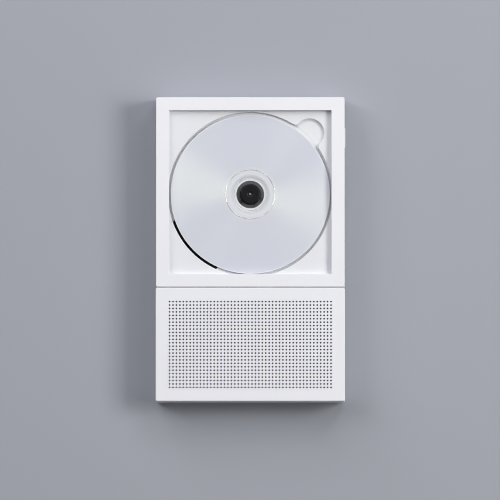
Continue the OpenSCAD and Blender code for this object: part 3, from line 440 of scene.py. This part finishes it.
# ---------------------------------------------------------------- wall, camera and lights
def one_sided(n, shader):
    """The backdrop shows only from its front, so that views from behind see the player's back."""
    geo = n.add("NewGeometry")
    clear = n.add("BsdfTransparent")
    both = n.add("MixShader")
    n.link(geo.outputs["Backfacing"], both.inputs[0])
    n.link(shader.outputs[0], both.inputs[1])
    n.link(clear.outputs[0], both.inputs[2])
    n.link(both.outputs[0], n.out.inputs["Surface"])


def make_stage():
    n = Nodes("wall_paint")
    tone = n.noise(2.2, 2.0, 0.5)
    base = n.ramp(tone, [(0.3, (0.345, 0.362, 0.404)), (0.7, (0.356, 0.373, 0.416))])
    s = n.surface(Base_Color=base, Roughness=0.85, Specular_IOR_Level=0.15, Normal=n.bump(n.noise(2600.0, 3.0), 0.12, 0.00004))
    one_sided(n, s)
    bm = bmesh.new()
    y, w, z0, z1 = 0.0002, 2.0, -2.8, 3.0
    bm.faces.new([bm.verts.new(p) for p in ((-w, y, z0), (w, y, z0), (w, y, z1), (-w, y, z1))])
    data = bpy.data.meshes.new("stage_wall")
    bm.to_mesh(data)
    bm.free()
    data.materials.append(n.mat)
    wall = bpy.data.objects.new("stage_wall", data)
    scene.collection.objects.link(wall)
    wall.visible_shadow = False

    n = Nodes("floor_paint")
    s = n.surface(Base_Color=n.ramp(n.noise(3.0), [(0.3, (0.66, 0.67, 0.69)), (0.7, (0.69, 0.70, 0.72))]), Roughness=0.8)
    bm = bmesh.new()
    bm.faces.new([bm.verts.new(p) for p in ((-8, -12, z0), (8, -12, z0), (8, 8, z0), (-8, 8, z0))])
    data = bpy.data.meshes.new("stage_floor")
    bm.to_mesh(data)
    bm.free()
    data.materials.append(n.mat)
    floor = bpy.data.objects.new("stage_floor", data)
    scene.collection.objects.link(floor)


def light(name, off, turn, distance, size, power, colour=(1, 1, 1)):
    """A soft box aimed at the object. off: degrees from straight ahead; turn: degrees round from right, 90 is above."""
    data = bpy.data.lights.new(name, "AREA")
    data.shape = "SQUARE"
    data.size = size
    data.energy = power
    data.color = colour
    obj = bpy.data.objects.new(name, data)
    scene.collection.objects.link(obj)
    a, t = math.radians(off), math.radians(turn)
    d = Vector((math.sin(a) * math.cos(t), -math.cos(a), math.sin(a) * math.sin(t)))
    obj.location = d * distance
    obj.rotation_euler = (-d).to_track_quat("-Z", "Y").to_euler()
    obj.visible_camera = False
    return obj


def make_camera():
    distance, tilt = 9.0, math.radians(3.5)
    data = bpy.data.cameras.new("camera")
    cam = bpy.data.objects.new("camera", data)
    scene.collection.objects.link(cam)
    aim = Vector((-0.00021, -0.026, -0.00073))
    cam.location = aim + distance * Vector((0, -math.cos(tilt), -math.sin(tilt)))
    cam.rotation_euler = (math.pi / 2 + tilt, 0, 0)
    data.lens = 36 * distance / 0.3762
    data.sensor_width = 36
    data.clip_end = 60
    scene.camera = cam


def make_world():
    world = bpy.data.worlds.new("studio")
    scene.world = world
    world.use_nodes = True
    nodes, links = world.node_tree.nodes, world.node_tree.links
    nodes.clear()
    out = nodes.new("ShaderNodeOutputWorld")
    back = nodes.new("ShaderNodeBackground")
    back.inputs["Color"].default_value = (0.40, 0.42, 0.465, 1)
    back.inputs["Strength"].default_value = 1.0
    links.new(back.outputs[0], out.inputs[0])
    # a plain pale backdrop all round: the lamps light the object, and this only shows behind it
    seen = world.cycles_visibility
    seen.diffuse = seen.glossy = seen.transmission = seen.scatter = False


KEY, SIDE, SKY = (1.015, 1.0, 0.972), (1.02, 0.995, 1.01), (0.985, 1.0, 1.03)
LIGHTS = [
    # name, degrees off, degrees round, distance, size, power, colour
    ("key_right", 48, 15, 2.4, 0.8, 19.5, KEY),
    ("key_low", 48, 5, 2.4, 0.8, 13.5, KEY),
    ("key_far", 56, 352, 2.4, 0.8, 7.2, KEY),
    ("left_near", 20, 154, 2.4, 0.5, 2.8, SIDE),
    ("left_mid", 40, 150, 2.4, 0.8, 10.8, SIDE),
    ("left_far", 58, 150, 2.4, 0.8, 8.1, SIDE),
    ("top_right", 48, 60, 2.4, 0.8, 11.2, SKY),
    ("top_left", 48, 120, 2.4, 0.8, 3.4, SKY),
    ("top", 58, 90, 2.4, 0.8, 6.4, SKY),
    ("high_left", 68, 120, 2.4, 0.8, 9.0, SKY),
]
make_details()
make_stage()
make_camera()
make_world()
for row in LIGHTS:
    light(*row)
light("behind_right", 174, 40, 2.5, 0.8, 7.5)
light("behind_left", 172, 150, 2.5, 0.8, 5.0)


# ---------------------------------------------------------------- write_sizes: imports json, writes nothing
def write_sizes():
    import json


write_sizes()
